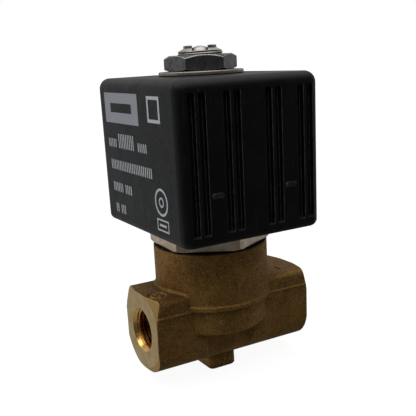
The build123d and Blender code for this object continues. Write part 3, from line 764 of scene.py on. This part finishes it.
def make_print():
    """The pale plate and the small marks."""
    printed_mark("print_plate", [bar(*place) for place in PLATE_BARS], "plate_ink")
    marks = frame_of_bars(*HOLLOW_SQUARE, HOLLOW_SQUARE_STROKE)
    for row in BAR_ROWS:
        marks += row_of_bars(*row)
    marks += ring_of_bars(RING_MIDDLE, **OUTER_RING)
    marks += ring_of_bars(RING_MIDDLE, **INNER_RING)
    marks += frame_of_bars(*SMALL_BOX, SMALL_BOX_STROKE)
    marks += [bar(*SMALL_BOX_BAR)]
    printed_mark("print_marks", marks, "ink")


make_port("inlet", mounts["inlet_port"])
make_port("outlet", mounts["outlet_port"])
make_stud_thread()
make_print()

# ------------------------------------------------------------------ camera, floor and light

CAMERA_PLACE = Vector((-105.906, -187.863, 98.6)) * MM
CAMERA_AZIMUTH = math.radians(29.393)
CAMERA_ELEVATION = math.radians(12.276)
CAMERA_ROLL = math.radians(-2.998)
CAMERA_LENS = 61.02  # millimetres
CAMERA_SENSOR = 36.0  # millimetres across
CAMERA_NEAREST = 0.01

FLOOR_HALF_SIZE = 6.0
FLOOR_GAP = 0.05 * MM  # between the foot and the floor
FLOOR_GREY = (0.20, 0.20, 0.20)
FLOOR_GLOW = 0.93
WHITE = (1.0, 1.0, 1.0)

# Soft panels of the studio: a direction, the cosines where a panel fades out and is full, and its
# strength
PANELS = (
    ((-0.08, -0.14, 0.99), 0.58, 0.92, 1.25),
    ((-0.62, 0.78, -0.08), 0.35, 0.92, 0.33),
    ((0.97, 0.20, 0.02), 0.45, 0.95, 0.24),
    ((0.35, 0.80, 0.45), 0.55, 0.95, 0.22),
    ((-0.65, 0.21, 0.72), 0.93, 0.985, 1.30),
    ((-0.45, -0.10, -0.88), 0.60, 0.95, 0.16),
)
ROOM_STRENGTH = 0.065
ROOM_TINT = (0.97, 0.985, 1.0)


def make_camera():
    """A camera that looks from the stated place, turned about its own line of sight."""
    back = Vector(
        (
            -math.sin(CAMERA_AZIMUTH) * math.cos(CAMERA_ELEVATION),
            -math.cos(CAMERA_AZIMUTH) * math.cos(CAMERA_ELEVATION),
            math.sin(CAMERA_ELEVATION),
        )
    )
    right = (-back).cross(Vector((0, 0, 1))).normalized()
    up = right.cross(-back)
    rolled_right = right * math.cos(CAMERA_ROLL) + up * math.sin(CAMERA_ROLL)
    rolled_up = up * math.cos(CAMERA_ROLL) - right * math.sin(CAMERA_ROLL)
    data = bpy.data.cameras.new("camera")
    data.sensor_width = CAMERA_SENSOR
    data.lens = CAMERA_LENS
    data.clip_start = CAMERA_NEAREST
    camera = bpy.data.objects.new("camera", data)
    turn = Matrix((rolled_right, rolled_up, back)).transposed().to_4x4()
    camera.matrix_world = Matrix.Translation(CAMERA_PLACE) @ turn
    bpy.context.scene.collection.objects.link(camera)
    bpy.context.scene.camera = camera


def make_floor():
    """A plain pale floor, just under the foot. The valve neither mirrors it nor is lit by it."""
    mesh = bmesh.new()
    bmesh.ops.create_grid(mesh, x_segments=1, y_segments=1, size=FLOOR_HALF_SIZE)
    mesh.transform(Matrix.Translation((0, 0, -FLOOR_GAP)))
    floor = object_of("floor", mesh)
    look = Look("pale_floor")
    look.set(base_color=FLOOR_GREY, roughness=0.9, specular_ior_level=0.0)
    look.set(emission_color=WHITE, emission_strength=FLOOR_GLOW)
    floor.data.materials.append(look.material)
    floor.visible_glossy = False
    floor.visible_diffuse = False


def make_light():
    """A dim room with soft panels round it, in front of a white background."""
    world = bpy.data.worlds.new("studio")
    world.use_nodes = True
    tree = world.node_tree
    tree.nodes.clear()
    place = tree.nodes.new("ShaderNodeTexCoord").outputs["Generated"]
    total = None
    for direction, fade, full, strength in PANELS:
        dot = tree.nodes.new("ShaderNodeVectorMath")
        dot.operation = "DOT_PRODUCT"
        tree.links.new(place, dot.inputs[0])
        dot.inputs[1].default_value = Vector(direction).normalized()
        panel = tree.nodes.new("ShaderNodeMapRange")
        panel.interpolation_type = "SMOOTHSTEP"
        tree.links.new(dot.outputs["Value"], panel.inputs["Value"])
        panel.inputs["From Min"].default_value = fade
        panel.inputs["From Max"].default_value = full
        panel.inputs["To Max"].default_value = strength
        joined = tree.nodes.new("ShaderNodeMath")
        tree.links.new(panel.outputs["Result"], joined.inputs[0])
        if total is None:
            joined.inputs[1].default_value = ROOM_STRENGTH
        else:
            tree.links.new(total, joined.inputs[1])
        total = joined.outputs[0]
    room = tree.nodes.new("ShaderNodeBackground")
    room.inputs["Color"].default_value = (*ROOM_TINT, 1.0)
    tree.links.new(total, room.inputs["Strength"])
    background = tree.nodes.new("ShaderNodeBackground")
    background.inputs["Color"].default_value = (*WHITE, 1.0)
    choice = tree.nodes.new("ShaderNodeMixShader")
    tree.links.new(tree.nodes.new("ShaderNodeLightPath").outputs["Is Camera Ray"], choice.inputs[0])
    tree.links.new(room.outputs[0], choice.inputs[1])
    tree.links.new(background.outputs[0], choice.inputs[2])
    tree.links.new(choice.outputs[0], tree.nodes.new("ShaderNodeOutputWorld").inputs[0])
    bpy.context.scene.world = world


make_camera()
make_floor()
make_light()
bpy.context.scene.view_settings.view_transform = "Standard"
